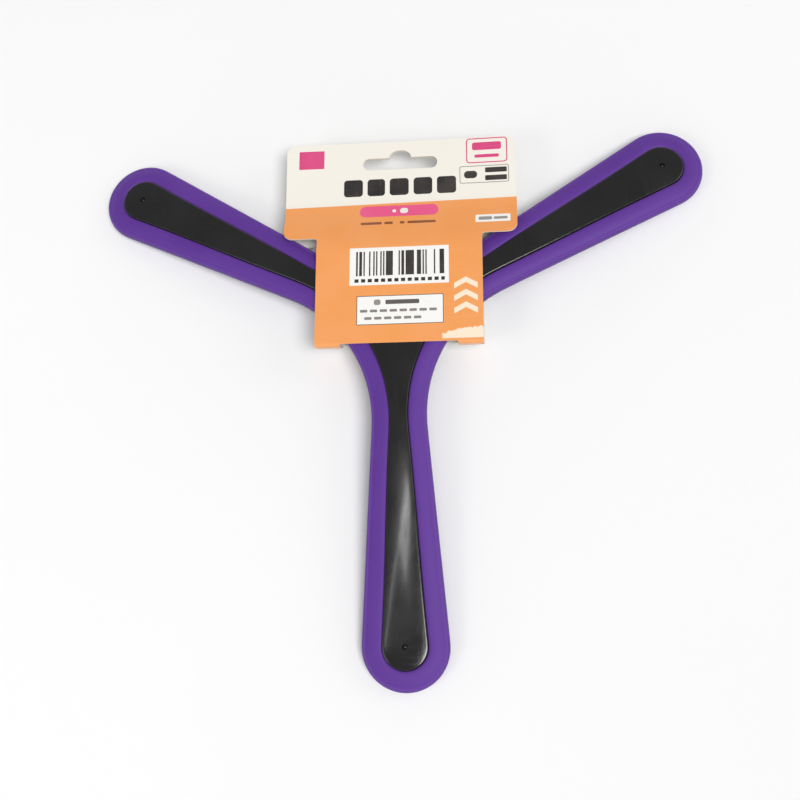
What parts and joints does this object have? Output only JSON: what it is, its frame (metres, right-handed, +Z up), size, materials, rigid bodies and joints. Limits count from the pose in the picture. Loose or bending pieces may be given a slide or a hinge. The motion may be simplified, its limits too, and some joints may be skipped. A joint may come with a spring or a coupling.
{
  "type": "boomerang",
  "caption": "Three-armed toy boomerang: rigid two-part core in a soft rim, its hub wrapped by a folded hang card whose front opens at the bottom fold.",
  "frame": {"origin": "on the plane that the three tips rest on, under the centre of the hub", "axes": "+Z up, out of the face of the hub; one arm points along -Y, the other two at 30 degrees above +X and -X; the card's header points along +Y"},
  "size_m": [0.262, 0.2319, 0.0188],
  "materials": {
    "gloss_black": "high gloss, fine scratches",
    "satin_black": "satin, fine spark texture",
    "soft_rim": "soft matte",
    "pin_black": "polished",
    "printed_card": "coated, printed",
    "plain_card": "uncoated board",
    "tape": "milky film"
  },
  "bodies": {
    "blade": {"front_panel": "gloss_black", "back_panel": "satin_black", "soft_rim": "soft_rim", "tip_pins": "pin_black", "card_spine": "printed_card", "card_back": "plain_card", "header_tape": "tape"},
    "card_flap": {"card_front": "printed_card"}
  },
  "joints": [
    {"name": "card_open", "type": "hinge", "parent": "blade", "child": "card_flap", "pos_m": [0.00077, -0.01102, 0.01884], "axis": [0.9998, -0.0209, 0], "range_deg": [0, 165]}
  ]
}
